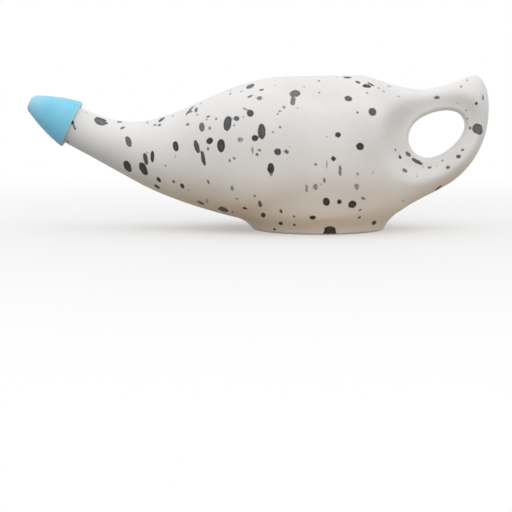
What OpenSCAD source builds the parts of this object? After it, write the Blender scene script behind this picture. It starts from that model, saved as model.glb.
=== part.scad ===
// Neti pot: a one-piece glazed pot with a long spout, an open mouth and a looped handle,
// and a soft nose tip pushed over the end of the spout.
// +X points to the handle, -X to the spout, +Z up; the foot stands on Z = 0.

/* [Bowl] */
// Width of the bowl across its widest section
bowl_width = 80; // [72:1:90]
// Height of the mouth's rim above the table
rim_height = 66.3; // [62:0.5:72]
// Thickness of the fired wall
wall = 3.8; // [3:0.1:4.5]
// Thickness of the floor above the table
floor_height = 5; // [4.5:0.1:6]

/* [Mouth] */
// Clear width of the filling mouth
mouth_diameter = 30; // [26:0.5:34]
// Distance of the mouth's middle from the foot's middle, towards the handle
mouth_offset = 2; // [0:0.5:5]
// Slope of the rim, rising towards the handle
mouth_tilt = 0.8; // [0:0.1:3]

/* [Foot] */
// Width of the foot where it meets the table
foot_diameter = 57; // [50:0.5:60]
// Height at which the side of the foot runs out into the bowl
foot_height = 6; // [4:0.5:7]
// Distance over which the side of the foot sweeps out into the bowl
instep_run = 7.5; // [5:0.5:8.5]
// Width of the hollow under the foot
recess_diameter = 47; // [40:0.5:48]
// Depth of the hollow under the foot
recess_depth = 1.2; // [0.8:0.1:1.5]

/* [Spout] */
// Distance from the foot's middle to the spout's middle at the back rim of the nose tip
spout_reach = 107; // [98:1:116]
// Height of the spout's middle at the back rim of the nose tip
spout_rise = 45.2; // [42:0.2:50]
// Upward slope of the spout's end
spout_slope = 28.4; // [22:0.2:34]
// Outer width of the spout at the back rim of the nose tip
spout_diameter = 16.5; // [15.5:0.1:18.5]
// Outer width of the spout's end, under the nose tip
nozzle_diameter = 11.4; // [10:0.1:13]
// Length of the spout under the nose tip
nozzle_length = 13; // [11:0.5:14.5]
// Width of the pouring hole in the spout's end
nozzle_bore = 6.5; // [5:0.1:7.5]
// Lowest height of the spout's upper edge
spout_dip = 46.5; // [43:0.5:48]

/* [Handle] */
// Distance from the foot's middle to the back of the handle
handle_reach = 73.7; // [71:0.5:80]
// Height of the handle's top corner
handle_height = 66.5; // [64:0.5:72]
// Height of the saddle between the mouth and the handle's top corner
saddle_height = 60.4; // [58:0.2:63]
// Width of the handle's loop
handle_width = 20; // [17:0.5:26]
// Length of the finger hole
finger_length = 25.8; // [20:0.2:26.4]
// Width of the finger hole, across its length
finger_width = 17.9; // [14:0.1:18.4]
// Upward lean of the finger hole
finger_lean = 28.7; // [20:0.1:36]
// Distance from the finger hole's middle to the back of the handle
finger_inset = 22.4; // [22:0.2:25]
// Height of the finger hole's middle
finger_height = 41.65; // [40:0.5:43]
// Distance over which the surface rounds into the finger hole
finger_edge = 2.8; // [2:0.1:4]
// Width of the dished band round the finger hole, up to the ridge on the loop
loop_dish = 9.5; // [8:0.5:12]
// Width of the dish on the bowl's side of the finger hole
body_dish = 20; // [15:0.5:22]

/* [Nose tip] */
// Width of the nose tip's back rim
tip_diameter = 22.1; // [21:0.1:24]
// Length of the nose tip
tip_length = 20.2; // [19:0.2:24]
// Width of the nose tip's front end
tip_end_diameter = 7.2; // [6.6:0.1:9]
// Width of the outlet in the nose tip
outlet_diameter = 4; // [3:0.1:4.5]
// Bulge of the nose tip's side beyond a straight cone
tip_bulge = 0.6; // [0:0.05:1.5]
// Rounding of the nose tip's front edge
tip_rounding = 1.2; // [0.5:0.1:1.5]
// Gap between the nose tip and the spout it is pushed on
tip_fit = 0.08; // [0.05:0.01:0.3]

/* [Hidden] */
glaze_color = [0.93, 0.93, 0.92];
silicone_color = [0.5, 0.8, 0.93];

// The nozzle is the turned end of the spout. Its frame has +Z along the spout, outwards.
nozzle_taper = (spout_diameter - nozzle_diameter) / 2 / nozzle_length;
nozzle_back = 5;
nozzle_skin = 0.12;
shell_overrun = 1.5;
nozzle_edge = 1.4;
channel_back = 7;
channel_waist = 0.5;

// Outer ring of the spout where the lofted shell ends, just under the nose tip.
collar_radius = spout_diameter / 2 - 0.02;
collar_x = -spout_reach - shell_overrun * cos(spout_slope);
collar_z = spout_rise + shell_overrun * sin(spout_slope);
collar_top = [collar_x + collar_radius * sin(spout_slope), collar_z + collar_radius * cos(spout_slope)];
collar_low = [collar_x - collar_radius * sin(spout_slope), collar_z - collar_radius * cos(spout_slope)];

// Level length of the rim to either side of the mouth's middle, and the lip's outer edge.
rim_reach = 14;
lip_radius = mouth_diameter / 2 + 2;
rim_left = rim_height - rim_reach * sin(mouth_tilt);
rim_right = rim_height + rim_reach * sin(mouth_tilt);
function mix(a, b, t) = a + (b - a) * t;

// Upper edge of the pot seen from the side, from the spout to the handle's top corner.
corner_length = 6.5;
back_x = handle_reach - corner_length;
crown_x = mouth_offset + lip_radius;
function on_spout(t) = mix(-spout_reach, mouth_offset - rim_reach, t);
function to_dip(t) = mix(spout_dip, rim_left, t);
function on_saddle(t) = mix(crown_x, back_x, t);
function to_saddle(t) = mix(rim_right, saddle_height, t);
function to_corner(t) = mix(saddle_height, handle_height, t);
top_line = [
    collar_top, [on_spout(0.13), to_dip(0.13)], [on_spout(0.29), to_dip(0)],
    [on_spout(0.45), to_dip(0.165)], [on_spout(0.63), to_dip(0.54)], [on_spout(0.77), to_dip(0.81)],
    [on_spout(0.905), to_dip(0.965)], [on_spout(1), rim_left], [mouth_offset, rim_height],
    [mouth_offset + rim_reach, rim_right], [crown_x, rim_right],
    [on_saddle(0.03), to_saddle(0.07)], [on_saddle(0.115), to_saddle(0.26)],
    [on_saddle(0.27), to_saddle(0.66)], [on_saddle(0.4), to_saddle(0.89)],
    [on_saddle(0.52), saddle_height], [on_saddle(0.695), to_corner(0.2)],
    [on_saddle(0.875), to_corner(0.64)], [on_saddle(0.955), to_corner(0.925)], [back_x, handle_height]];

// Back of the handle: two quarter arcs that meet at its furthest point.
nose_height = 51.5;
heel_length = 33.7;
heel_drop = 36.8;
corner_power = 2.18;
function arc(u, p) = pow(max(0, 1 - pow(min(1, max(0, u)), p)), 1 / p);
function heel(x) = nose_height - heel_drop * arc((x - handle_reach + heel_length) / heel_length, 2);
function corner(x) = mix(nose_height, handle_height, arc((x - back_x) / corner_length, corner_power));

// Lower edge of the pot seen from the side, ending where the handle's back arc takes over.
foot_radius = foot_diameter / 2;
function on_belly(t) = mix(-spout_reach, -foot_radius, t);
function on_heel(t) = mix(foot_radius, handle_reach, t);
arc_start = on_heel(0.62);
low_line = [
    collar_low, [on_belly(0.1325), 0.668 * spout_rise], [on_belly(0.265), 0.54 * spout_rise],
    [on_belly(0.43), 0.387 * spout_rise], [on_belly(0.596), 0.27 * spout_rise],
    [on_belly(0.763), 0.178 * spout_rise], [on_belly(0.924), 0.83 * foot_height],
    [-0.7 * foot_radius, 0.5 * foot_height], [0, 0.4 * foot_height], [0.7 * foot_radius, 0.6 * foot_height],
    [on_heel(0.122), 1.19 * foot_height], [on_heel(0.237), 0.199 * nose_height],
    [on_heel(0.389), 0.27 * nose_height], [on_heel(0.544), 0.339 * nose_height],
    [arc_start, heel(arc_start)]];

// Half width of the pot along it, from the spout over the bowl to the handle's loop.
half_width = bowl_width / 2;
loop_half = handle_width / 2;
width_line = [
    [collar_top[0], collar_radius],
    [-0.89 * spout_reach, 0.54 * spout_diameter], [-0.795 * spout_reach, 0.625 * spout_diameter],
    [-0.7 * spout_reach, 0.33 * half_width], [-0.607 * spout_reach, 0.42 * half_width],
    [-0.514 * spout_reach, 0.54 * half_width], [-0.42 * spout_reach, 0.675 * half_width],
    [-0.327 * spout_reach, 0.81 * half_width], [-0.224 * spout_reach, 0.925 * half_width],
    [-0.112 * spout_reach, 0.99 * half_width], [0, half_width],
    [0.163 * handle_reach, 0.975 * half_width], [0.285 * handle_reach, 0.89 * half_width],
    [0.393 * handle_reach, 0.74 * half_width], [0.488 * handle_reach, 0.56 * half_width],
    [0.583 * handle_reach, 0.4 * half_width], [0.678 * handle_reach, 1.2 * loop_half],
    [0.773 * handle_reach, 1.06 * loop_half], [0.868 * handle_reach, loop_half], [handle_reach, loop_half]];

// Middle and form of the finger hole.
finger_x = handle_reach - finger_inset;
finger_z = finger_height;
finger_egg = -0.11;
finger_power = 2.16;
dish_share = 0.5;

// Slope at each point of a line, and the smooth curve through its points.
function span(k, x) = max(0, min(len(k) - 2, len([for (p = k) if (p[0] <= x) 1]) - 1));
function rise(k, i) = (k[i + 1][1] - k[i][1]) / (k[i + 1][0] - k[i][0]);
function run(k, i) = k[i + 1][0] - k[i][0];
function slope(k, i) = i == 0 ? rise(k, 0) : i == len(k) - 1 ? rise(k, i - 1)
    : (rise(k, i - 1) * run(k, i) + rise(k, i) * run(k, i - 1)) / (run(k, i - 1) + run(k, i));
function hermite(t, a, b, ma, mb) = (2 * t * t * t - 3 * t * t + 1) * a + (t * t * t - 2 * t * t + t) * ma
    + (3 * t * t - 2 * t * t * t) * b + (t * t * t - t * t) * mb;
function curve(k, x) = let (i = span(k, x), h = run(k, i), t = (x - k[i][0]) / h)
    hermite(t, k[i][1], k[i + 1][1], slope(k, i) * h, slope(k, i + 1) * h);
function ease(t) = let (u = min(1, max(0, t))) u * u * (3 - 2 * u);

// Upper edge, lower edge and half width at a distance x from the foot's middle.
function top_at(x) = x < back_x ? curve(top_line, x) : corner(x);
function low_at(x) = x < arc_start ? curve(low_line, x) : heel(x);
loop_thickness = 11.5;
function width_at(x) = curve(width_line, x) * arc((x - handle_reach + loop_thickness) / loop_thickness, 2);

// Squareness of the section, rounder at the spout and fuller low in the bowl.
function bowl_share(x, reach) = ease(1.4 * (reach - abs(x) / spout_reach) / reach);
function top_power(x) = 2 + 0.25 * bowl_share(x, 0.65);
function low_power(x) = 2 + 0.7 * bowl_share(x, 0.58);

// Backward lean of the ribs, so that the last one stands square to the spout.
lean_start = -0.375 * spout_reach;
collar_lean = collar_top[0] - collar_low[0];
function lean(x) = x > lean_start ? 0
    : collar_lean * pow((lean_start - x) / (lean_start - collar_top[0]), 1.5);

// Distance from the finger hole's edge, measured out from its middle.
function finger_radius(a) = let (b = a - finger_lean, c = cos(b), s = sin(b),
        u = abs(c) * 2 / finger_length, v = abs(s) * 2 / finger_width / (1 + finger_egg * c))
    pow(pow(u, finger_power) + pow(v, finger_power), -1 / finger_power);

// Share of its full thickness that the pot has near the finger hole: it rounds up steeply from
// the hole's edge, then dishes gently up to a ridge, wider on the bowl's side than on the loop.
function roll(x, z) = let (dx = x - finger_x, dz = z - finger_z, a = atan2(dz, dx),
        gap = norm([dx, dz]) - finger_radius(a), u = min(1, max(0, gap / finger_edge)),
        dish = mix(loop_dish, body_dish, pow((1 - cos(a)) / 2, 1.5)))
    mix(sqrt(1 - pow(1 - u, 3)), ease(gap / dish), dish_share);

// Point of the outer skin: round the mouth and the foot the section follows the side
// view's own edges, turned about the mouth and about the foot.
shoulder_run = 17;
foot_clear = 2;
belly_run = 9;
function turned_top(x, y) = let (dx = x - mouth_offset, r = sqrt(dx * dx + y * y), c = r > 0 ? dx / r : 0)
    mix(top_at(mouth_offset - r), top_at(mouth_offset + r), (1 + c) / 2);
function turned_low(x, y) = let (r = sqrt(x * x + y * y), c = r > 0 ? x / r : 0)
    mix(low_at(-r), low_at(r), (1 + c) / 2);
function near_mouth(x, y) = let (r = norm([x - mouth_offset, y]))
    1 - ease((r - lip_radius) / shoulder_run);
function near_foot(x, y) = let (r = norm([x, y]))
    1 - ease((r - foot_radius - foot_clear) / belly_run);
function settle(p, upper) = upper
    ? [p[0], p[1], mix(p[2], turned_top(p[0], p[1]), near_mouth(p[0], p[1]))]
    : [p[0], p[1], mix(p[2], turned_low(p[0], p[1]), near_foot(p[0], p[1]))];
function skin(x, a) = let (
        xt = x, xb = x - lean(x), zt = top_at(xt), zb = low_at(xb), c = cos(a), s = sin(a),
        n = c > 0 ? top_power(x) : low_power(x),
        u = sign(c) * pow(abs(c), 2 / n), v = sign(s) * pow(abs(s), 2 / n),
        px = (xt + xb) / 2 + u * (xt - xb) / 2, pz = (zt + zb) / 2 + u * (zt - zb) / 2)
    settle([px, -v * width_at(x) * roll(px, pz), pz], c > 0);

// Half thickness of the handle end at a point of the side view.
function half_at(x, z) = let (zt = top_at(x), zb = low_at(x), c = (2 * z - zt - zb) / (zt - zb),
        n = c > 0 ? top_power(x) : low_power(x))
    width_at(x) * arc(abs(c), n) * roll(x, z);

// Stations along the pot and points round each section.
around = 40;
spout_steps = 15;
bowl_steps = 19;
loop_steps = 14;
loop_from = finger_x - finger_radius(180) - 1.6;
loop_to = handle_reach - 0.45 * loop_thickness;
stations = concat(
    [for (i = [0:spout_steps - 1]) mix(collar_top[0], lean_start, i / spout_steps)],
    [for (i = [0:bowl_steps - 1]) mix(lean_start, loop_from, i / bowl_steps)],
    [for (i = [0:loop_steps]) mix(loop_from, loop_to, i / loop_steps)],
    [for (b = [26, 42, 58, 74, 83]) mix(loop_to, handle_reach, sin(b))]);
first_eye = spout_steps + bowl_steps;
last_eye = first_eye + loop_steps;
steps_above = 4;
steps_below = 16;

// Ring of grid points round the finger hole, and the rings that lead from it to the hole.
eye_ring = concat(
    [for (i = [first_eye:last_eye]) [i, steps_above]],
    [for (j = [steps_above + 1:steps_below]) [last_eye, j]],
    [for (i = [last_eye - 1:-1:first_eye]) [i, steps_below]],
    [for (j = [steps_below - 1:-1:steps_above + 1]) [first_eye, j]]);
ring_size = len(eye_ring);
steps_in = [0.74, 0.5, 0.3, 0.15, 0.05, 0];
ring_count = len(steps_in);

function grid_id(i, j) = i * around + (j + around) % around;
grid_size = len(stations) * around;
function ring_id(side, k, m) = k < 0
    ? grid_id(eye_ring[m % ring_size][0], side * eye_ring[m % ring_size][1])
    : grid_size + (k == ring_count - 1 ? 2 * k * ring_size
        : (2 * k + (side > 0 ? 0 : 1)) * ring_size) + m % ring_size;
function eye_point(k, side, g) = let (
        e = skin(stations[g[0]], 360 * g[1] / around), dx = e[0] - finger_x, dz = e[2] - finger_z,
        a = atan2(dz, dx), r0 = finger_radius(a), r = mix(r0, norm([dx, dz]), steps_in[k]),
        x = finger_x + r * cos(a), z = finger_z + r * sin(a))
    [x, k == ring_count - 1 ? 0 : -side * half_at(x, z), z];

// Foot: rings from a block of the grid under the belly in to the instep, down its side, round
// the foot's edge and on to its flat underside. Steps above 1 lie on the belly, 1 to 0 on the
// side of the foot, and those below 0 are distances in from its edge.
foot_from = 14;
foot_edge = 0.8;
foot_lift = 0.25;
instep_rise = 1.6;
foot_steps = [1.66, 1.33, 1, 0.84, 0.68, 0.52, 0.37, 0.23, 0.1, 0, -0.35, -foot_edge];
foot_count = len(foot_steps);
foot_ring = concat(
    [for (i = [spout_steps:first_eye]) [i, foot_from]],
    [for (j = [foot_from + 1:around - foot_from]) [first_eye, j]],
    [for (i = [first_eye - 1:-1:spout_steps]) [i, around - foot_from]],
    [for (j = [around - foot_from - 1:-1:foot_from + 1]) [spout_steps, j]]);
foot_size = len(foot_ring);
pole_id = grid_size + (2 * ring_count - 1) * ring_size;
function foot_id(k, m) = k < 0 ? grid_id(foot_ring[m % foot_size][0], foot_ring[m % foot_size][1])
    : pole_id + 1 + k * foot_size + m % foot_size;
function under_angle(x, y) = 180 + sign(y) * asin(pow(min(1, abs(y) / width_at(x)), low_power(x) / 2));
function belly(x, y) = skin(x, under_angle(x, y))[2];
function foot_point(s, g) = let (
        ae = 360 * g[1] / around, e = skin(stations[g[0]], ae), reach = norm([e[0], e[1]]),
        c = e[0] / reach, d = e[1] / reach, rim = min(foot_radius + instep_run, 0.96 * reach),
        r = s > 0 ? mix(foot_radius, rim, s) : foot_radius + s, h = belly(rim * c, rim * d),
        out = (belly((rim + 1) * c, (rim + 1) * d) - belly((rim - 1) * c, (rim - 1) * d)) / 2)
    s > 1 ? skin(mix(rim * c, e[0], s - 1), mix(under_angle(rim * c, rim * d), ae, s - 1))
    : [r * c, r * d, s > 0 ? hermite(s, foot_lift, h, instep_rise * h, out * (rim - foot_radius))
        : foot_lift * pow(1 + s / foot_edge, 2)];

skin_points = concat(
    [for (x = stations) for (j = [0:around - 1]) skin(x, 360 * j / around)],
    [for (k = [0:ring_count - 2]) for (side = [1, -1]) for (g = eye_ring) eye_point(k, side, g)],
    [for (g = eye_ring) eye_point(ring_count - 1, 1, g)],
    [[handle_reach, 0, nose_height]],
    [for (s = foot_steps) for (g = foot_ring) foot_point(s, g)]);
last_row = len(stations) - 1;
function in_eye(i, j) = i >= first_eye && i < last_eye
    && ((j >= steps_above && j < steps_below) || (j >= around - steps_below && j < around - steps_above));
function in_foot(i, j) = i >= spout_steps && i < first_eye && j >= foot_from && j < around - foot_from;
skin_faces = concat(
    [[for (j = [0:around - 1]) grid_id(0, j)]],
    [for (i = [0:last_row - 1]) for (j = [0:around - 1]) if (!in_eye(i, j) && !in_foot(i, j))
        [grid_id(i, j), grid_id(i + 1, j), grid_id(i + 1, j + 1), grid_id(i, j + 1)]],
    [for (j = [0:around - 1]) [grid_id(last_row, j), pole_id, grid_id(last_row, j + 1)]],
    [for (k = [0:ring_count - 1]) for (m = [0:ring_size - 1])
        [ring_id(1, k - 1, m), ring_id(1, k - 1, m + 1), ring_id(1, k, m + 1), ring_id(1, k, m)]],
    [for (k = [0:ring_count - 1]) for (m = [0:ring_size - 1])
        [ring_id(-1, k - 1, m + 1), ring_id(-1, k - 1, m), ring_id(-1, k, m), ring_id(-1, k, m + 1)]],
    [for (k = [0:foot_count - 1]) for (m = [0:foot_size - 1])
        [foot_id(k - 1, m), foot_id(k - 1, m + 1), foot_id(k, m + 1), foot_id(k, m)]],
    [[for (m = [0:foot_size - 1]) foot_id(foot_count - 1, m)]]);

// Hollow of the pot, a wall's thickness inside the skin, closing short of the finger hole.
hollow_end = finger_x - finger_radius(180) - wall - 0.4;
hollow_round = 17;
hollow_height = 0.58 * rim_height;
hollow_start = collar_top[0] + 0.5 * collar_radius;
hollow_around = 32;
function hollow_close(x) = x < hollow_end - hollow_round ? 1
    : arc((x - hollow_end + hollow_round) / hollow_round, 2.3);
function hollow_floor(x) = let (f = low_at(x) + 1.1 * wall)
    abs(x) > 1.3 * foot_radius ? f : max(f, floor_height);
function hollow(x, a) = let (
        xb = x - lean(x), s0 = hollow_close(x), nx = wall * sin(spout_slope) * lean(x) / collar_lean,
        zt = mix(hollow_height, top_at(x) - 1.05 * wall, s0),
        zb = mix(hollow_height, hollow_floor(xb), s0),
        c = cos(a), s = sin(a), n = c > 0 ? top_power(x) : low_power(x),
        u = sign(c) * pow(abs(c), 2 / n), v = sign(s) * pow(abs(s), 2 / n), xa = x - nx, xc = xb + nx,
        px = (xa + xc) / 2 + u * (xa - xc) / 2, py = -v * (width_at(x) - wall) * s0,
        pz = (zt + zb) / 2 + u * (zt - zb) / 2)
    [px, py, c > 0 ? mix(pz, turned_top(px, py) - 1.05 * wall, s0 * near_mouth(px, py)) : pz];
hollow_stations = concat(
    [for (i = [0:13]) mix(hollow_start, lean_start, i / 14)],
    [for (i = [0:11]) mix(lean_start, hollow_end - hollow_round, i / 12)],
    [for (b = [0:13:78]) hollow_end - hollow_round + hollow_round * sin(b)],
    [hollow_end - 0.006 * hollow_round]);
hollow_rows = len(hollow_stations) - 1;
hollow_points = concat(
    [for (x = hollow_stations) for (j = [0:hollow_around - 1]) hollow(x, 360 * j / hollow_around)],
    [[hollow_end, 0, hollow_height]]);
hollow_pole = len(hollow_points) - 1;
function hollow_id(i, j) = i * hollow_around + j % hollow_around;
hollow_faces = concat(
    [[for (j = [0:hollow_around - 1]) hollow_id(0, j)]],
    [for (i = [0:hollow_rows - 1]) for (j = [0:hollow_around - 1])
        [hollow_id(i, j), hollow_id(i + 1, j), hollow_id(i + 1, j + 1), hollow_id(i, j + 1)]],
    [for (j = [0:hollow_around - 1])
        [hollow_id(hollow_rows, j), hollow_pole, hollow_id(hollow_rows, j + 1)]]);

// Moves what is turned about Z to the end of the spout, with +Z pointing out along it.
module at_spout() {
    translate([-spout_reach, 0, spout_rise]) rotate([0, spout_slope - 90, 0]) children();
}

// Turned end of the spout that carries the nose tip.
module nozzle() {
    r0 = spout_diameter / 2 - nozzle_skin;
    r1 = nozzle_diameter / 2;
    at_spout() rotate_extrude($fn = 64) polygon([
        [0, -nozzle_back], [r0, -nozzle_back], [r0, 0],
        [r1 + nozzle_edge * nozzle_taper, nozzle_length - nozzle_edge],
        [r1 - 0.4, nozzle_length - 0.45], [r1 - nozzle_edge, nozzle_length], [0, nozzle_length]]);
}

// Channel through the spout's end, narrowing from the hollow to the pouring hole.
module channel() {
    r0 = spout_diameter / 2 - wall;
    r1 = nozzle_bore / 2;
    at_spout() rotate_extrude($fn = 48) polygon([
        [0, -channel_back], [r0 - channel_waist, -channel_back], [r0, 0], [r1, nozzle_length - 4],
        [r1, nozzle_length + 1], [0, nozzle_length + 1]]);
}

// Filling mouth with a rounded lip, cut from above.
module mouth_cut() {
    r = mouth_diameter / 2;
    e = wall / 2;
    translate([mouth_offset, 0, rim_height]) rotate([0, -mouth_tilt, 0]) rotate_extrude($fn = 72) polygon([
        [0, -3 * wall], [r, -3 * wall], [r, -0.6 * e],
        [r + 0.13 * e, -0.3 * e], [r + 0.4 * e, -0.1 * e], [r + e, 0.06 * e],
        [r + 2 * e, 2 * e], [r + 2 * e, 4 * e], [0, 4 * e]]);
}

module pot() {
    color(glaze_color) difference() {
        union() {
            polyhedron(points = skin_points, faces = skin_faces, convexity = 6);
            nozzle();
        }
        polyhedron(points = hollow_points, faces = hollow_faces, convexity = 4);
        mouth_cut();
        translate([0, 0, -1]) cylinder(h = 1 + recess_depth, d = recess_diameter, $fn = 96);
        channel();
    }
}

// Soft cone with a domed side, hollow to fit the nozzle, open at its end.
module nose_tip() {
    r0 = tip_diameter / 2;
    r1 = tip_end_diameter / 2;
    seat = spout_diameter / 2 + 0.25;
    round_at = 1 - tip_rounding / tip_length;
    function side(t) = mix(r0, r1, t) + tip_bulge * 4 * t * (1 - t);
    outer = [for (i = [1:7]) [side(i / 7 * round_at), i / 7 * round_at * tip_length]];
    front = [for (b = [30:30:90])
        [side(round_at) - tip_rounding * (1 - cos(b)), tip_length - tip_rounding * (1 - sin(b))]];
    n0 = spout_diameter / 2 - nozzle_skin + tip_fit;
    n1 = nozzle_diameter / 2 + nozzle_edge * nozzle_taper + tip_fit;
    ho = outlet_diameter / 2;
    color(silicone_color) at_spout() rotate_extrude($fn = 64) polygon(concat(
        [[seat, 0.3], [seat + 0.3, 0], [r0 - 0.5, 0], [r0 - 0.17, 0.13], [r0 - 0.05, 0.45]],
        outer, front,
        [[ho + 0.3, tip_length], [ho, tip_length - 0.4],
         [ho, nozzle_length + 3], [n1 - 1.2, nozzle_length + 0.6], [n1, nozzle_length - nozzle_edge],
         [mix(n0, n1, 2 / (nozzle_length - nozzle_edge)), 2], [seat, 1.6]]));
}

pot();
nose_tip();
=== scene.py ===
# Neti pot: a one-piece glazed and speckled pot with a soft blue nose tip on its spout.
import bmesh
import bpy
import numpy as np
from math import cos, pi, radians, sin
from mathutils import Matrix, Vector


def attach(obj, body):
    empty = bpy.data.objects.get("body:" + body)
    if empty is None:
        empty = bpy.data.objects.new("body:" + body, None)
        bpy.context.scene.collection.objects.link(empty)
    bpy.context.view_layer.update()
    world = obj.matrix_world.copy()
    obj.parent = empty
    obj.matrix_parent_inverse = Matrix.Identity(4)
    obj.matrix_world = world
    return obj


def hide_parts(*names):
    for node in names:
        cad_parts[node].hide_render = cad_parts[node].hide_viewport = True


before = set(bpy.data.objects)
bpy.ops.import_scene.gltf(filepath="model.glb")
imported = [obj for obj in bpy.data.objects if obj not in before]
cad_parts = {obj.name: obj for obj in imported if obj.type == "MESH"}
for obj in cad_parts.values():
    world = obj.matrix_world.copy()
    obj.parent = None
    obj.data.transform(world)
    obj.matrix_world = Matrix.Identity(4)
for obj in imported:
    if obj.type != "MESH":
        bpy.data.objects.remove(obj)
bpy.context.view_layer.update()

# The pot: bowl, spout, looped handle and foot in one slip-cast and glazed piece. Its skin is a
# row of ribs along X, closed round the finger hole, with a turned foot and a rounded rim.
# Sizes are in millimetres until the mesh is written.
MM = 0.001
bowl_width, rim_height, wall, floor_height = 80.0, 66.3, 3.8, 5.0
mouth_diameter, mouth_offset, mouth_tilt = 30.0, 2.0, 0.8
foot_radius, foot_height, recess_radius, recess_depth = 28.5, 6.0, 23.5, 1.2
instep_run, instep_rise, foot_edge, foot_lift = 7.5, 1.6, 0.8, 0.25
spout_reach, spout_rise, spout_slope, spout_diameter = 107.0, 45.2, 28.4, 16.5
nozzle_diameter, nozzle_length, nozzle_bore, spout_dip = 11.4, 13.0, 6.5, 46.5
handle_reach, handle_height, saddle_height, handle_width = 73.7, 66.5, 60.4, 20.0
finger_length, finger_width, finger_lean, finger_egg, finger_power = 25.8, 17.9, 28.7, -0.11, 2.16
finger_x, finger_z, finger_edge = handle_reach - 22.4, 41.65, 2.6
loop_dish, crown_dish, body_dish, loop_share, body_share = 9.0, 2.5, 18.0, 0.52, 0.44
crown_turn, body_fade = 0.95, 1.8

slope_sin, slope_cos = sin(radians(spout_slope)), cos(radians(spout_slope))
collar_radius, shell_overrun = spout_diameter / 2 - 0.02, 1.5
collar_x = -spout_reach - shell_overrun * slope_cos
collar_z = spout_rise + shell_overrun * slope_sin
collar_top = (collar_x + collar_radius * slope_sin, collar_z + collar_radius * slope_cos)
collar_low = (collar_x - collar_radius * slope_sin, collar_z - collar_radius * slope_cos)


def mix(a, b, t):
    return a + (b - a) * t


def ease(t):
    u = np.clip(t, 0, 1)
    return u**3 * (10 - 15 * u + 6 * u * u)


def arc(u, power):
    return np.maximum(0, 1 - np.clip(u, 0, 1) ** power) ** (1 / power)


mouth_radius, rim_reach, lip_width = mouth_diameter / 2, 14.0, 2
lip_radius = mouth_radius + lip_width
rim_left = rim_height - rim_reach * sin(radians(mouth_tilt))
rim_right = rim_height + rim_reach * sin(radians(mouth_tilt))
corner_length, nose_height, heel_length, heel_drop, corner_power = 6.5, 51.5, 33.7, 36.8, 2.18
back_x, crown_x = handle_reach - corner_length, mouth_offset + lip_radius
loop_thickness = 11.5


def heel(x):
    """Lower edge of the handle's back."""
    return nose_height - heel_drop * arc((x - handle_reach + heel_length) / heel_length, 2)


def corner(x):
    """Upper edge of the handle's back, round its top corner."""
    return mix(nose_height, handle_height, arc((x - back_x) / corner_length, corner_power))


# Upper edge, lower edge and half width as points along the pot, joined by smooth curves.
top_line = [collar_top]
for t, h in ((0.13, 0.13), (0.29, 0), (0.45, 0.165), (0.63, 0.54), (0.77, 0.81), (0.905, 0.965)):
    top_line.append((mix(-spout_reach, mouth_offset - rim_reach, t), mix(spout_dip, rim_left, h)))
top_line += [(mouth_offset - rim_reach, rim_left), (mouth_offset, rim_height),
             (mouth_offset + rim_reach, rim_right), (crown_x, rim_right)]
for t, h in ((0.03, 0.07), (0.115, 0.26), (0.27, 0.66), (0.4, 0.89), (0.52, 1)):
    top_line.append((mix(crown_x, back_x, t), mix(rim_right, saddle_height, h)))
for t, h in ((0.695, 0.2), (0.875, 0.64), (0.955, 0.925), (1, 1)):
    top_line.append((mix(crown_x, back_x, t), mix(saddle_height, handle_height, h)))

arc_start = mix(foot_radius, handle_reach, 0.62)
low_line = [collar_low]
for t, h in ((0.1325, 0.668), (0.265, 0.54), (0.43, 0.387), (0.596, 0.27), (0.763, 0.178)):
    low_line.append((mix(-spout_reach, -foot_radius, t), h * spout_rise))
low_line.append((mix(-spout_reach, -foot_radius, 0.924), 0.83 * foot_height))
for t, h in ((-0.7, 0.5), (0, 0.4), (0.7, 0.6)):
    low_line.append((t * foot_radius, h * foot_height))
low_line.append((mix(foot_radius, handle_reach, 0.122), 1.19 * foot_height))
for t, h in ((0.237, 0.199), (0.389, 0.27), (0.544, 0.339)):
    low_line.append((mix(foot_radius, handle_reach, t), h * nose_height))
low_line.append((arc_start, float(heel(arc_start))))

half_width, loop_half = bowl_width / 2, handle_width / 2
width_line = [(collar_top[0], collar_radius), (-0.89 * spout_reach, 0.54 * spout_diameter),
              (-0.795 * spout_reach, 0.625 * spout_diameter)]
for t, w in ((-0.7, 0.33), (-0.607, 0.42), (-0.514, 0.54), (-0.42, 0.675), (-0.327, 0.81),
             (-0.224, 0.925), (-0.112, 0.99), (0, 1)):
    width_line.append((t * spout_reach, w * half_width))
for t, w in ((0.163, 0.975), (0.285, 0.89), (0.393, 0.74), (0.488, 0.56), (0.583, 0.4)):
    width_line.append((t * handle_reach, w * half_width))
for t, w in ((0.678, 1.2), (0.773, 1.06), (0.868, 1), (1, 1)):
    width_line.append((t * handle_reach, w * loop_half))


def hermite(t, a, b, out_of_a, into_b):
    """Smooth step from a to b with given slopes at its two ends."""
    return ((2 * t**3 - 3 * t**2 + 1) * a + (t**3 - 2 * t**2 + t) * out_of_a
            + (3 * t**2 - 2 * t**3) * b + (t**3 - t**2) * into_b)


def smooth_line(points):
    """Smooth curve through points, as a function of the place along the pot."""
    px, pv = np.array(points).T
    run, rise = np.diff(px), np.diff(pv) / np.diff(px)
    slopes = np.concatenate((
        [rise[0]], (rise[:-1] * run[1:] + rise[1:] * run[:-1]) / (run[:-1] + run[1:]), [rise[-1]]))

    def value(x):
        x = np.asarray(x, float)
        i = np.clip(np.searchsorted(px, x, "right") - 1, 0, len(px) - 2)
        h = run[i]
        return hermite((x - px[i]) / h, pv[i], pv[i + 1], slopes[i] * h, slopes[i + 1] * h)

    return value


top_curve, low_curve, width_curve = (smooth_line(k) for k in (top_line, low_line, width_line))


def top_at(x):
    return np.where(np.asarray(x) < back_x, top_curve(x), corner(x))


def low_at(x):
    return np.where(np.asarray(x) < arc_start, low_curve(x), heel(x))


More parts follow.
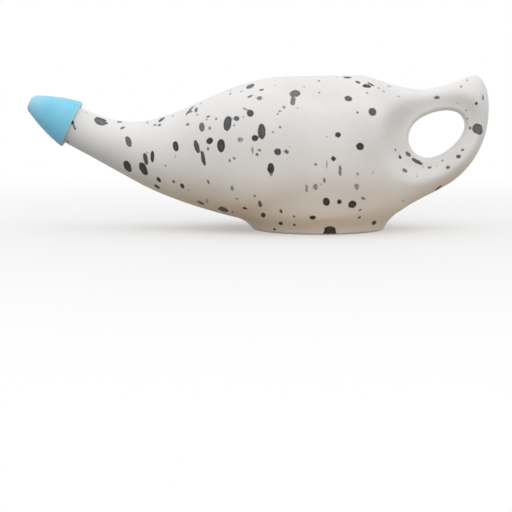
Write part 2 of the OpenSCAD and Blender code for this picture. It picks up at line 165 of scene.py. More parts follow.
def width_at(x):
    return width_curve(x) * arc((x - handle_reach + loop_thickness) / loop_thickness, 2)


# Squareness of the section: a plain oval at the spout, fuller at the bowl and most of all low down.
def bowl_share(x, reach):
    return ease(1.4 * (reach - np.abs(x) / spout_reach) / reach)


def top_power(x):
    return 2 + 0.25 * bowl_share(x, 0.65)


def low_power(x):
    return 2 + 0.7 * bowl_share(x, 0.58)


# The ribs lean back more and more, so that the last one stands square to the spout.
lean_start = -0.375 * spout_reach
collar_lean = collar_top[0] - collar_low[0]


def lean(x):
    t = np.clip((lean_start - np.asarray(x)) / (lean_start - collar_top[0]), 0, None)
    return collar_lean * t**2


def finger_radius(angle):
    """Distance from the finger hole's middle to its edge."""
    b = angle - radians(finger_lean)
    u = np.abs(np.cos(b)) * 2 / finger_length
    v = np.abs(np.sin(b)) * 2 / finger_width / (1 + finger_egg * np.cos(b))
    return (u**finger_power + v**finger_power) ** (-1 / finger_power)


def roll(x, z):
    """Share of the full thickness near the finger hole: a rounded edge, then a dish up to a ridge."""
    dx, dz = x - finger_x, z - finger_z
    turn = np.arctan2(dz, dx)
    gap = np.hypot(dx, dz) - finger_radius(turn)
    to_body = ((1 - np.cos(turn)) / 2) ** body_fade
    edge = np.sqrt(1 - (1 - np.clip(gap / finger_edge, 0, 1)) ** 3)
    to_crown = np.maximum(0, np.cos(turn - crown_turn)) ** 4
    dish = ease(gap / (mix(loop_dish, body_dish, to_body) + crown_dish * to_crown))
    return mix(edge, dish, mix(loop_share, body_share, to_body))


# Round the mouth and the foot the surface follows the side view's own edges, turned about them.
def turned_top(x, y):
    dx = x - mouth_offset
    r = np.hypot(dx, y)
    c = dx / np.maximum(r, 1e-9)
    return mix(top_at(mouth_offset - r), top_at(mouth_offset + r), (1 + c) / 2)


def turned_low(x, y):
    r = np.hypot(x, y)
    c = x / np.maximum(r, 1e-9)
    return mix(low_at(-r), low_at(r), (1 + c) / 2)


shoulder_run, foot_clear, belly_run = 17, 2, 9


def near_mouth(x, y):
    return 1 - ease((np.hypot(x - mouth_offset, y) - lip_radius) / shoulder_run)


def near_foot(x, y):
    return 1 - ease((np.hypot(x, y) - foot_radius - foot_clear) / belly_run)


def round_rib(x, angle):
    """Upward and sideways share, from -1 to 1, of a point at an angle from the top of the rib at x."""
    c, s = np.cos(angle), np.sin(angle)
    n = np.where(c > 0, top_power(x), low_power(x))
    return np.sign(c) * np.abs(c) ** (2 / n), np.sign(s) * np.abs(s) ** (2 / n)


def skin(x, angle):
    """Point of the outer skin at an angle from the top of the rib at x."""
    xb, (u, v) = x - lean(x), round_rib(x, angle)
    zt, zb = top_at(x), low_at(xb)
    px, pz = (x + xb) / 2 + u * (x - xb) / 2, (zt + zb) / 2 + u * (zt - zb) / 2
    py = -v * width_at(x) * roll(px, pz)
    upper = mix(pz, turned_top(px, py), near_mouth(px, py))
    lower = mix(pz, turned_low(px, py), near_foot(px, py))
    return np.stack((px, py, np.where(np.cos(angle) > 0, upper, lower)), -1)


def top_over(x, y):
    """Height of the skin's upper side over a point."""
    zt, zb, n = top_at(x), low_at(x), top_power(x)
    z = (zt + zb) / 2 + (zt - zb) / 2 * arc(np.abs(y) / width_at(x), n)
    return mix(z, turned_top(x, y), near_mouth(x, y))


def under_angle(x, y):
    """Angle round the rib at which the belly lies over a point under the pot."""
    share = np.minimum(1, np.abs(y) / width_at(x)) ** (low_power(x) / 2)
    return pi + np.sign(y) * np.arcsin(share)


def half_at(x, z):
    """Half width of the skin at a point of the side view."""
    zt, zb = top_at(x), low_at(x)
    c = (2 * z - zt - zb) / (zt - zb)
    n = np.where(c > 0, top_power(x), low_power(x))
    u = np.clip(np.abs(c), 0, 1)
    return width_at(x) * (1 - u**n) ** (1 / n) * roll(x, z)


pot_points, pot_faces = [], []


def add_points(points):
    """Adds points to the pot and gives their numbers, in the shape that the points came in."""
    points = np.asarray(points, float)
    first = sum(len(p) for p in pot_points)
    pot_points.append(points.reshape(-1, 3))
    return first + np.arange(points[..., 0].size).reshape(points.shape[:-1])


def close_between(a, b):
    """Quads between two closed rings of the same count."""
    pot_faces.extend(np.stack((a, np.roll(a, -1), np.roll(b, -1), b), -1).tolist())


def close_three_to_one(fine, third):
    """Faces between a closed ring and one with a third of its points."""
    n = len(third)
    for m in range(n):
        k = (m + 1) % n
        pot_faces.append([*fine[3 * m:3 * m + 3], fine[3 * k], third[k], third[m]])


def close_to_point(ring, point):
    last = int(add_points([point])[0])
    pot_faces.extend([[a, b, last] for a, b in zip(ring, np.roll(ring, -1))])


def ring_round(grid, i0, i1, j0, j1, side=1):
    """Numbers of the grid points round a block, in order; side -1 takes the block across the pot."""
    m = grid.shape[1]
    cells = ([(i, j0) for i in range(i0, i1)] + [(i1, j) for j in range(j0, j1)]
             + [(i, j1) for i in range(i1, i0, -1)] + [(i0, j) for j in range(j1, j0, -1)])
    return np.array([grid[i, side * j % m] for i, j in cells])


def grid_faces(grid, skip):
    """Quads over a grid that closes on itself one way, apart from the cells that are skipped."""
    rows, m = grid.shape
    for i in range(rows - 1):
        for j in range(m):
            if not skip(i, j):
                k = (j + 1) % m
                pot_faces.append([grid[i, j], grid[i, k], grid[i + 1, k], grid[i + 1, j]])


# Outer skin, as a grid of ribs with four blocks left open: mouth, foot and both sides of the loop.
around = 300
foot_left, mouth_left, mouth_right, eye_left, eye_right = -39.0, -20.0, 24.0, 36.8, 68.5
span_ends = (collar_top[0], foot_left, mouth_left, mouth_right, eye_left, eye_right)
span_ribs = (96, 20, 48, 18, 34)
last_ribs = eye_right + (handle_reach - eye_right) * np.sin(np.radians(np.linspace(7, 88, 13)))
stations = np.concatenate(
    [np.linspace(left, right, ribs, endpoint=False)
     for left, right, ribs in zip(span_ends, span_ends[1:], span_ribs)] + [[eye_right], last_ribs])
foot_i, mouth_i0, mouth_i1, eye_i0, eye_i1 = np.cumsum(span_ribs).tolist()
mouth_j, eye_j0, eye_j1, foot_j = 24, 33, 102, 105
angles = np.arange(around) * 2 * pi / around
outer = add_points(skin(stations[:, None], angles[None, :]))


def left_open(i, j):
    side = min(j, around - 1 - j)
    return ((mouth_i0 <= i < mouth_i1 and side < mouth_j) or (foot_i <= i < eye_i0 and side >= foot_j)
            or (eye_i0 <= i < eye_i1 and eye_j0 <= side < eye_j1))


grid_faces(outer, left_open)
close_to_point(outer[-1], (handle_reach, 0, nose_height))


def place(ids):
    """Points that go with their numbers."""
    return np.concatenate(pot_points)[ids]


# Both sides of the loop roll into the finger hole and meet on the pot's middle plane.
eye_steps = 20
for side in (1, -1):
    ids = ring_round(outer, eye_i0, eye_i1, eye_j0, eye_j1, side)
    edge = place(ids)
    dx, dz = edge[:, 0] - finger_x, edge[:, 2] - finger_z
    turn, reach = np.arctan2(dz, dx), np.hypot(dx, dz)
    r0 = finger_radius(turn)
    spare = np.abs(edge[:, 1]) - half_at(edge[:, 0], edge[:, 2])
    for step in range(eye_steps - 1, 0, -1):
        share = 1 - cos(radians(90 * step / eye_steps))
        r = mix(r0, reach, share)
        x, z = finger_x + r * np.cos(turn), finger_z + r * np.sin(turn)
        ring = add_points(np.stack((x, -side * (half_at(x, z) + spare * share**2), z), -1))
        close_between(ids, ring)
        ids = ring
    if side == 1:
        x, z = finger_x + r0 * np.cos(turn), finger_z + r0 * np.sin(turn)
        inner_edge = add_points(np.stack((x, 0 * x, z), -1))
    close_between(ids, inner_edge)

# Rim: the skin runs level to the mouth and rolls over into the neck.
level_reach, lip_start = 17.6, 17.2
ids = ring_round(outer, mouth_i0, mouth_i1, -mouth_j, mouth_j)
edge = place(ids)
mouth_turn = np.arctan2(edge[:, 1], edge[:, 0] - mouth_offset)
mouth_reach = np.hypot(edge[:, 1], edge[:, 0] - mouth_offset)
turn_x, turn_y = np.cos(mouth_turn), np.sin(mouth_turn)
for share in (0.85, 0.7, 0.55, 0.4, 0.27, 0.14, 0):
    r = mix(level_reach, mouth_reach, share)
    x, y = mouth_offset + r * turn_x, r * turn_y
    ring = add_points(np.stack((x, y, top_over(x, y)), -1))
    close_between(ids, ring)
    ids = ring
rim_z = top_over(mouth_offset + lip_start * turn_x, lip_start * turn_y)
lip = ((2.0, 0.0), (1.5, 0.0), (1.1, -0.05), (0.75, -0.19), (0.45, -0.42), (0.22, -0.76),
       (0.07, -1.18), (0.0, -1.7), (0.0, -2.5), (0.06, -3.1), (0.3, -3.6), (0.7, -3.95))
for out, dz in lip:
    r = mouth_radius + out
    ring = add_points(np.stack((mouth_offset + r * turn_x, r * turn_y, rim_z + dz), -1))
    close_between(ids, ring)
    ids = ring
neck_fine = ids

# Foot: the belly sweeps down in a concave fillet to a rounded contact ring and a shallow hollow.
ids = ring_round(outer, foot_i, eye_i0, foot_j, around - foot_j)
edge = place(ids)
edge_angle = (ids - outer[0, 0]) % around * 2 * pi / around
foot_turn, foot_reach = np.arctan2(edge[:, 1], edge[:, 0]), np.hypot(edge[:, 0], edge[:, 1])
turn_x, turn_y = np.cos(foot_turn), np.sin(foot_turn)
sharpness, inside_edge = 24, 0.96
start = ((foot_radius + instep_run) ** -sharpness
         + (inside_edge * foot_reach) ** -sharpness) ** (-1 / sharpness)
start_angle = under_angle(start * turn_x, start * turn_y)


def belly(r):
    """Height of the belly at a distance from the foot's middle, all round."""
    return skin(r * turn_x, under_angle(r * turn_x, r * turn_y))[:, 2]


sweep = [edge]
for share in np.linspace(0.9, 0, 10):
    sweep.append(skin(mix(start * turn_x, edge[:, 0], share), mix(start_angle, edge_angle, share)))
belly_z = belly(start)
into_belly = (belly(start + 0.5) - belly(start - 0.5)) * (start - foot_radius)
for t in np.linspace(1, 0, 17)[1:]:
    r = mix(foot_radius, start, t)
    z = hermite(t, foot_lift, belly_z, instep_rise * belly_z, into_belly)
    sweep.append(np.stack((r * turn_x, r * turn_y, z), -1))
sweep = np.array(sweep)
# The rows where the fillet leaves the belly are eased into one another.
for _ in range(12):
    sweep[8:20] += 0.25 * (sweep[9:21] - 2 * sweep[8:20] + sweep[7:19])
for row in sweep[1:]:
    ring = add_points(row)
    close_between(ids, ring)
    ids = ring
for t in (0.25, 0.5, 0.75, 1):
    r, z = foot_radius - t * foot_edge, foot_lift * (1 - t) ** 2
    ring = add_points(np.stack((r * turn_x, r * turn_y, 0 * turn_x + z), -1))
    close_between(ids, ring)
    ids = ring
foot_under = ((2.7, 0), (0.5, 0), (0.25, 0.06), (0.05, 0.25), (-0.05, 0.6), (-0.3, 0.95),
              (-0.8, recess_depth), (-5.5, recess_depth), (-11.5, recess_depth), (-17.5, recess_depth))
for out, z in foot_under:
    r = recess_radius + out
    ring = add_points(np.stack((r * turn_x, r * turn_y, 0 * turn_x + z), -1))
    close_between(ids, ring)
    ids = ring
close_to_point(ids, (0, 0, recess_depth))

# Hollow, a wall's thickness inside the skin, on a grid three times coarser.
hollow_clear, hollow_round, hollow_height = 0.4, 17.0, 0.58 * rim_height
hollow_end = finger_x - float(finger_radius(pi)) - wall - hollow_clear
hollow_start = collar_top[0] + 0.5 * collar_radius
roof_wall, floor_wall = 1.05 * wall, 1.1 * wall


def hollow(x, angle):
    """Point of the hollow's wall at an angle from the top of the rib at x."""
    xb, (u, v) = x - lean(x), round_rib(x, angle)
    into_end = (x - hollow_end + hollow_round) / hollow_round
    close = np.where(into_end < 0, 1, arc(into_end, 2.3))
    nx = wall * slope_sin * lean(x) / collar_lean
    under = low_at(xb) + floor_wall
    under = np.where(np.abs(xb) > 1.3 * foot_radius, under, np.maximum(under, floor_height))
    zt = mix(hollow_height, top_at(x) - roof_wall, close)
    zb = mix(hollow_height, under, close)
    xa, xc = x - nx, xb + nx
    px, py = (xa + xc) / 2 + u * (xa - xc) / 2, -v * (width_at(x) - wall) * close
    pz = (zt + zb) / 2 + u * (zt - zb) / 2
    raised = mix(pz, turned_top(px, py) - roof_wall, close * near_mouth(px, py))
    return np.stack((px, py, np.where(np.cos(angle) > 0, raised, pz)), -1)


hollow_i0, hollow_i1, hollow_j = 30, 30 + (mouth_i1 - mouth_i0) // 3, mouth_j // 3
end_ribs = hollow_round * np.sin(np.radians([28, 36, 44, 52, 60, 68, 76, 83]))
hollow_stations = np.concatenate((
    np.linspace(hollow_start, mouth_left, hollow_i0, endpoint=False),
    stations[mouth_i0:mouth_i1 + 1:3], hollow_end - hollow_round + end_ribs))
inner = add_points(hollow(hollow_stations[:, None], angles[None, ::3]))
grid_faces(inner, lambda i, j: hollow_i0 <= i < hollow_i1 and min(j, around // 3 - 1 - j) < hollow_j)
close_to_point(inner[-1], (hollow_end, 0, hollow_height))
ceiling_ids = ring_round(inner, hollow_i0, hollow_i1, -hollow_j, hollow_j)
edge = place(ceiling_ids)
neck_radius, neck_drop = mouth_radius + 1.6, 4.1
turn_x, turn_y = np.cos(mouth_turn[::3]), np.sin(mouth_turn[::3])
neck = np.stack((mouth_offset + neck_radius * turn_x, neck_radius * turn_y, rim_z[::3] - neck_drop), -1)
ring = add_points(neck)
close_three_to_one(neck_fine, ring)
for share in (0.33, 0.66):
    step = add_points(mix(neck, edge, share))
    close_between(ring, step)
    ring = step
close_between(ring, ceiling_ids)

# Spout's end: the skin steps down to the nozzle's cone, rounds over its end and runs back
# through the pouring channel into the hollow.
def spout_ring(along, radius, turns):
    """Ring about the spout's axis, at a distance past the back rim of the nose tip."""
    centre = np.array((-spout_reach - along * slope_cos, 0, spout_rise + along * slope_sin))
    upward, sideways = np.array((slope_sin, 0, slope_cos)), np.array((0, -1, 0))
    return centre + radius * (np.cos(turns)[:, None] * upward + np.sin(turns)[:, None] * sideways)


taper, nozzle_skin = (spout_diameter - nozzle_diameter) / 2 / nozzle_length, 0.12
channel_radius, bore_radius = spout_diameter / 2 - wall, nozzle_bore / 2
ids = outer[0]
nozzle = [(1.62, collar_radius - 0.07), (1.66, collar_radius - 0.16), (1.68, collar_radius - 0.25)]
nozzle += [(a, spout_diameter / 2 - nozzle_skin - taper * a) for a in (2.2, 4.0, 6.0, 8.0, 10.0, 11.4)]
nozzle += [(nozzle_length - back, radius)
           for back, radius in ((1.0, 5.72), (0.5, 5.42), (0.15, 4.95), (0.0, 4.3), (0.03, 3.75))]
for along, radius in nozzle:
    ring = add_points(spout_ring(along, radius, angles))
    close_between(ids, ring)
    ids = ring
coarse = add_points(spout_ring(nozzle_length - 0.25, bore_radius + 0.15, angles[::3]))
close_three_to_one(ids, coarse)
channel = ((12.4, bore_radius), (9.0, bore_radius), (4.5, bore_radius + 0.6),
           (0.0, channel_radius), (-2.5, channel_radius))
for along, radius in channel:
    ring = add_points(spout_ring(along, radius, angles[::3]))
    close_between(coarse, ring)
    coarse = ring
close_between(coarse, inner[0])

pot_mesh = bpy.data.meshes.new("pot_glazed")
pot_mesh.from_pydata((np.concatenate(pot_points) * MM).tolist(), [],
                     [list(map(int, face)) for face in pot_faces])
form = bmesh.new()
form.from_mesh(pot_mesh)
loose = [v for v in form.verts if not v.link_faces]
bmesh.ops.delete(form, geom=loose, context="VERTS")
bmesh.ops.recalc_face_normals(form, faces=form.faces)
for face in form.faces:
    face.smooth = True
form.to_mesh(pot_mesh)
form.free()
pot = bpy.data.objects.new("pot_glazed", pot_mesh)
bpy.context.scene.collection.objects.link(pot)

# Specks of the near side, each an oval in mm on the pot's middle plane as the camera sees it:
# place along and up, width, height, turn in degrees, darkness.
camera_x, camera_y, camera_z, camera_pitch, focal_pixels = -27.1, -739.0, 69.6, 6.31, 1700.0
spout_specks = (
    (-94.6, 46.7, 5.6, 3, -20, 0.87), (-94.3, 47.6, 5, 1, -18, 1), (-92.2, 46, 2.6, 1.4, -25, 0.85),
    (-106.6, 46.2, 1.6, 3, 22, 1), (-105.8, 44.3, 0.9, 3.8, 22, 1), (-108.6, 37.8, 1.3, 0.6, -40, 0.8),
    (-84.7, 43.8, 2.4, 1.1, 25, 0.8), (-86.5, 46.5, 2.6, 0.5, 0, 0.7), (-82.6, 38, 2.6, 5, 20, 0.88),
    (-83, 26.9, 3, 5.4, 28, 1), (-76.2, 26, 3, 6.3, 25, 1), (-75.4, 30.2, 2, 5.5, 10, 0.95),
    (-72.2, 31.4, 1.8, 5.4, 0, 1), (-69.7, 21.3, 1.5, 2.9, 35, 1), (-70.3, 18.3, 3.2, 1.2, -35, 1),
    (-74, 46.1, 1, 0.5, 0, 0.6), (-71.2, 45.1, 1.2, 0.8, 0, 0.8), (-69.2, 45.1, 1.6, 1.1, 25, 0.8),
    (-68.2, 47.5, 3.6, 1.1, 35, 0.9), (-66.5, 27.3, 0.7, 1, 0, 0.8), (-62.4, 31.2, 0.5, 1.6, 0, 0.3),
    (-63.2, 49, 1.2, 0.4, 0, 0.5), (-62.7, 20.5, 1.1, 1.9, 30, 0.9), (-59.4, 18.5, 1.6, 2.6, 30, 1),
    (-56.5, 17, 0.5, 1.2, 0, 0.3), (-51.3, 11.2, 3.5, 1.2, -25, 0.9))
left_specks = (
    (-61.8, 36, 2.7, 4.7, 10, 1), (-52.7, 35.8, 2.2, 6, 15, 0.95), (-50.2, 30.8, 1.8, 6.8, 10, 0.95),
    (-47.4, 38.2, 3.2, 2.8, 30, 1), (-48, 34.8, 1.3, 1.9, 0, 0.7), (-42.4, 36.3, 3.5, 5.8, 0, 1),
    (-50.7, 44, 2.4, 4.2, 0, 0.85), (-47.5, 43.8, 1.6, 1.8, 0, 0.65), (-56.6, 45.2, 1.6, 1.6, 0, 0.7),
    (-48.1, 48.7, 1.8, 1, 10, 0.8), (-48.5, 47.2, 1.1, 0.9, 0, 0.7), (-44.5, 47.6, 1.4, 1.4, 0, 0.7),
    (-52.3, 49.4, 1, 0.7, 0, 0.7), (-55.8, 50.7, 2.5, 1, 10, 0.8), (-53.2, 51.7, 1.3, 2.8, -20, 0.85),
    (-55.4, 51.4, 0.6, 5.6, -42, 0.8), (-50.8, 54.3, 1.2, 0.5, 0, 0.6),
    (-39.1, 45.6, 3.6, 6.7, -10, 0.95), (-35.1, 48, 2.4, 2.4, 0, 0.9), (-32.4, 48.7, 0.9, 1.1, 0, 0.6),
    (-36.2, 45, 1.2, 1.2, 0, 0.7), (-29.4, 50.4, 3, 3.3, 0, 0.95), (-31.7, 52, 3.4, 0.6, -30, 0.7),
    (-25.3, 56.5, 2.6, 1.9, 15, 0.75), (-29.3, 57.4, 3, 1, 25, 0.8), (-29.6, 61.8, 4, 1.7, 25, 0.9),
    (-24.2, 60.1, 2.4, 0.9, 10, 0.9), (-37.8, 58.5, 1.5, 0.9, 0, 0.7), (-33, 59.6, 1.3, 0.6, 0, 0.6),
    (-38.3, 59.8, 1.4, 0.5, 0, 0.6), (-24.6, 42.6, 3.4, 7, 0, 0.95), (-27.3, 39.5, 2.9, 2.9, 0, 1),
    (-33.2, 38.7, 2.2, 2, 0, 0.6), (-34.4, 38.5, 0.6, 3, 15, 0.7), (-26, 34.5, 1.6, 1.6, 0, 0.7),
    (-27, 32.6, 1.4, 1.6, 0, 0.9), (-29, 34, 0.5, 5.5, 12, 0.7), (-39, 29.7, 1.4, 2, 0, 0.7),
    (-36.8, 30.5, 1.8, 1.4, 20, 0.7), (-37.3, 17.6, 1.4, 2.4, 10, 0.7), (-47.9, 20.3, 1, 2.6, 25, 0.8),
    (-48.7, 12, 0.7, 2.2, 10, 0.5), (-41.6, 8.2, 4.8, 2, -20, 1), (-37.5, 7.2, 1.2, 0.7, 0, 0.8),
    (-32.1, 8.5, 2.2, 1.3, -20, 1), (-35.3, 12.9, 1.7, 0.9, -35, 0.85), (-27.6, 14.2, 1.4, 0.9, -25, 1),
    (-25, 10.6, 1.7, 3.3, 10, 0.9), (-24.3, 5.9, 2.1, 2.4, 0, 1))
middle_specks = (
    (-18.8, 62.1, 1, 0.3, 0, 0.4), (-17, 44, 1.4, 1.4, 0, 0.65), (-19.4, 42, 1.3, 1.2, 0, 0.6),
    (-17.2, 33.2, 3.2, 3.2, 0, 0.95), (-14.2, 32.9, 2.3, 2.3, 0, 0.85), (-20.8, 26.5, 3.1, 4.8, 0, 1),
    (-20.6, 23.4, 1.8, 2, 0, 0.7), (-16.4, 7.7, 1.4, 2.1, 0, 0.95), (-16.6, 2.1, 1.9, 1.7, 0, 1),
    (-19.2, -0.3, 1.5, 1.3, 0, 1), (-10.2, 58.7, 4.9, 3, 5, 0.85), (-11.5, 55.3, 2.3, 4, -5, 0.8),
    (-14.7, 52.6, 1.6, 1.6, 0, 0.65), (-16.3, 50.9, 1.4, 1.1, 0, 0.6), (-18.2, 49.8, 1.2, 1, 0, 0.6),
    (-8.8, 52.5, 0.6, 1, 0, 0.5), (0.2, 64.3, 1.4, 0.6, 0, 0.7), (0.4, 58.9, 1.3, 0.9, 0, 0.65),
    (7.8, 65.3, 1, 0.4, 0, 0.5), (12.5, 65.5, 3.9, 0.9, 0, 0.9), (17.2, 63.4, 2.6, 1.1, -15, 0.9),
    (20.5, 62, 3.8, 1.6, -8, 1), (22.3, 62.9, 3.6, 0.8, -28, 0.9), (21.1, 59.1, 1.4, 0.8, 0, 0.6),
    (25.9, 60.8, 1.4, 1.2, 30, 0.6), (28.3, 59.7, 1.2, 0.9, 0, 0.75), (12.8, 56.6, 3.6, 2.5, -8, 0.9),
    (23.2, 50.9, 3.3, 3.8, 25, 0.93), (16.9, 50.4, 1.3, 1.3, 0, 0.8), (8.2, 41.1, 2.7, 2.5, 0, 1),
    (3.7, 40.2, 1.1, 1.1, 0, 0.4), (18.4, 35.6, 3.6, 3.5, 0, 1), (6.4, 30.3, 2.3, 2.7, 0, 1),
    (-1, 28.2, 1.5, 1.7, 0, 0.75), (3.8, 27.5, 0.8, 4.8, -8, 0.5), (9.8, 25.3, 1.1, 5, 0, 0.75),
    (2.4, 21.4, 1.3, 2.5, 12, 0.8), (17, 23.6, 1.3, 1.6, 0, 0.6), (23.7, 24.5, 0.8, 2.2, 10, 0.3),
    (-1.7, 18.3, 2.3, 2.9, 0, 0.65), (-4.9, 17.8, 0.8, 3.7, 0, 0.6), (15.8, 18.5, 0.9, 1.8, -20, 0.65),
    (17.3, 18, 1.4, 3.6, -20, 0.6), (3.2, 11.2, 3.3, 3.9, 0, 1), (9, 11.6, 2.2, 2.3, 0, 1),
    (14.6, 10.6, 3.8, 3.3, 25, 1), (19.3, 13, 2.3, 1.4, -35, 0.75), (18.2, 8, 1.9, 1, 35, 0.85),
    (17.9, 5, 1.7, 1, 25, 0.95), (-2, 4.7, 2.8, 2, 0, 1), (-10.3, 5.3, 1.6, 0.9, -10, 0.9),
    (-10.4, 1.6, 1.4, 1.1, -20, 0.9), (5.4, -0.6, 5.2, 4, 0, 1), (5.4, -2.4, 6, 3.2, 0, 1),
    (24.3, 2.5, 2.4, 1.7, 40, 1))
handle_specks = (
    (51.5, 57.1, 2.3, 1.7, 0, 0.85), (50.3, 56.9, 1.3, 1, 0, 0.8), (30.5, 61.8, 2.4, 0.5, 0, 0.4),
    (34.7, 57.4, 1, 0.7, 0, 0.7), (62.1, 61.7, 2.1, 0.9, -45, 0.7), (64.1, 64.4, 1.3, 0.5, -30, 0.5),
    (71.2, 57.1, 0.9, 2.6, 0, 0.75), (68.3, 54.3, 1.4, 1.5, 0, 1), (68.9, 43.5, 4.6, 4.6, 0, 0.88),
    (70, 42.3, 3, 2.9, 0, 0.88), (65.6, 43.8, 1.3, 1.6, 0, 0.8), (63.8, 51.2, 1, 0.9, 0, 0.75),
    (64.5, 47.7, 0.7, 0.8, 0, 0.65), (62.3, 34, 1.8, 1.3, 30, 0.85), (60.8, 31.2, 2.3, 1.9, 0, 0.9),
    (56.3, 26.7, 2.1, 1.7, 0, 0.85), (54.1, 29.7, 0.9, 0.8, 0, 0.7), (51.3, 27.1, 1, 0.5, -30, 0.4),
    (48.6, 26.5, 2.1, 1.2, 0, 0.8), (45.6, 26.6, 0.8, 0.5, 0, 0.5), (42.7, 29.1, 5.6, 1.6, -28, 0.9),
    (38.8, 32.5, 3, 1.6, -38, 0.85), (34.7, 31.7, 1.3, 2.4, 30, 0.95), (33.4, 34.3, 0.7, 1.4, 30, 0.85),
    (37.7, 25.4, 2.9, 1.7, -30, 0.8), (43, 22.4, 0.7, 1, 0, 0.5), (36.9, 12, 1.2, 0.9, 20, 0.85),
    (51.7, 17.5, 4.3, 0.8, 40, 0.9))

least_speck, speck_cling, speck_sink = 0.9, 0.3, 0.12
count = len(pot_mesh.vertices)
points, normals = np.empty(count * 3), np.empty(count * 3)
pot_mesh.vertices.foreach_get("co", points)
pot_mesh.vertices.foreach_get("normal", normals)
points, normals = points.reshape(-1, 3) / MM, normals.reshape(-1, 3)
away = points - np.array((camera_x, camera_y, camera_z))
seen_x = camera_x + away[:, 0] * -camera_y / away[:, 1]
seen_z = camera_z + away[:, 2] * -camera_y / away[:, 1]
faces_camera = np.einsum("ij,ij->i", away, normals) < 0
speck, speck_tone = np.full(count, 2.0), np.zeros(count)


def put_speck(centre, axes, tone):
    """Lowers the distance field round a point by an oval with two half axes on the surface."""
    sizes = np.linalg.norm(axes, axis=1)
    longest = sizes.max()
    offset = points - points[centre]
    near = np.flatnonzero((np.abs(offset).max(1) < longest + 2)
                          & (normals @ normals[centre] > 0.2))
    q = offset[near] @ (axes / sizes[:, None]).T
    depth = offset[near] @ normals[centre]
    k0 = np.linalg.norm(q / sizes, axis=1)
    k1 = np.linalg.norm(q / sizes**2, axis=1)
    distance = np.where(k1 > 1e-6, k0 * (k0 - 1) / np.maximum(k1, 1e-6), -sizes.min())
    distance = distance + np.maximum(0, np.abs(depth) - speck_cling - speck_sink * longest)
    closer = distance < speck[near]
    speck[near[closer]] = distance[closer]
    speck_tone[near[closer]] = tone


def surface_frame(centre):
    """Two directions along the surface at a point, square to each other."""
    n = normals[centre]
    along = np.cross((0, 1, 0) if abs(n[1]) < 0.9 else (0, 0, 1), n)
    along /= np.linalg.norm(along)
    return np.array((along, np.cross(n, along)))


for x, z, width, height, turn, tone in spout_specks + left_specks + middle_specks + handle_specks:
    gap = np.hypot(seen_x - x, seen_z - z)
    shown = np.flatnonzero(faces_camera & (gap < max(1.0, gap[faces_camera].min() + 0.2)))
    front = shown[points[shown, 1] < points[shown, 1].min() + 4]
    centre = front[np.argmin(gap[front])]
    near_x, near_y, near_z = away[centre]
    scale = -camera_y / near_y
    view = np.array(((scale, -near_x * scale / near_y, 0), (0, -near_z * scale / near_y, scale)))
    tangents = surface_frame(centre)
    a = radians(turn)
    spin = np.array(((cos(a), -sin(a)), (sin(a), cos(a))))
    oval = spin @ np.diag(np.maximum((width, height), least_speck)) / 2
    u, sizes, _ = np.linalg.svd(np.linalg.solve(view @ tangents.T, oval))
    sizes = np.minimum(sizes, 0.8 * max(width, height, 1.2))
    put_speck(centre, (u * sizes).T @ tangents, tone)

# The side away from the camera carries specks of the same sizes, scattered at random.
strewn = 190
rng = np.random.default_rng(11)
kinds = np.array([k[2:] for k in left_specks + middle_specks + handle_specks])
far = np.flatnonzero(~faces_camera & (points[:, 1] > 1.5) & (points[:, 2] > 1))
corner_area = np.zeros(count)
for polygon in pot_mesh.polygons:
    corner_area[polygon.vertices[0]] += polygon.area
weight = corner_area[far] / corner_area[far].sum()
centres, picked = rng.choice(far, strewn, p=weight), kinds[rng.integers(0, len(kinds), strewn)]
for centre, (width, height, turn, tone) in zip(centres, picked):
    tangents = surface_frame(centre)
    a = radians(turn + rng.uniform(-30, 30))
    spin = np.array(((cos(a), sin(a)), (-sin(a), cos(a))))
    sizes = np.maximum((width, height), least_speck) / 2 * rng.uniform(0.8, 1.15)
    put_speck(centre, (spin * sizes[:, None]) @ tangents, tone)
pot_mesh.attributes.new("speck", "FLOAT", "POINT").data.foreach_set("value", speck)
pot_mesh.attributes.new("speck_tone", "FLOAT", "POINT").data.foreach_set("value", speck_tone)


def node_maker(tree):
    """A function that adds a node to a tree and sets or links its inputs, by name or by number."""
    def add(kind, settings=None, **inputs):
        made = tree.nodes.new(kind)
        for key, value in (settings or {}).items():
            setattr(made, key, value)
        for key, value in inputs.items():
            slot = made.inputs[int(key[1:])] if key[0] == "_" else made.inputs[key.replace("_", " ")]
            if isinstance(value, bpy.types.NodeSocket):
                tree.links.new(value, slot)
            else:
                slot.default_value = value
        return made

    return add


def new_material(name):
    """A node material with its tree, its main shader and the function that adds its nodes."""
    material = bpy.data.materials.new(name)
    material.use_nodes = True
    tree = material.node_tree
    return material, tree, tree.nodes["Principled BSDF"], node_maker(tree)


def blend(add, share, a, b):
    made = add("ShaderNodeMix", {"data_type": "RGBA"}, _0=share, _6=a, _7=b)
    return made.outputs[2]


def calc(add, operation, a, b=0.0, clamp=False):
    return add("ShaderNodeMath", {"operation": operation, "use_clamp": clamp}, _0=a, _1=b).outputs[0]


def fade(add, value, low, high, to_low=0.0, to_high=1.0, kind="SMOOTHSTEP"):
    made = add("ShaderNodeMapRange", {"interpolation_type": kind}, Value=value, From_Min=low,
               From_Max=high, To_Min=to_low, To_Max=to_high)
    return made.outputs[0]


def noise(add, spot, scale, detail=2.0):
    return add("ShaderNodeTexNoise", Vector=spot, Scale=scale, Detail=detail).outputs["Fac"]


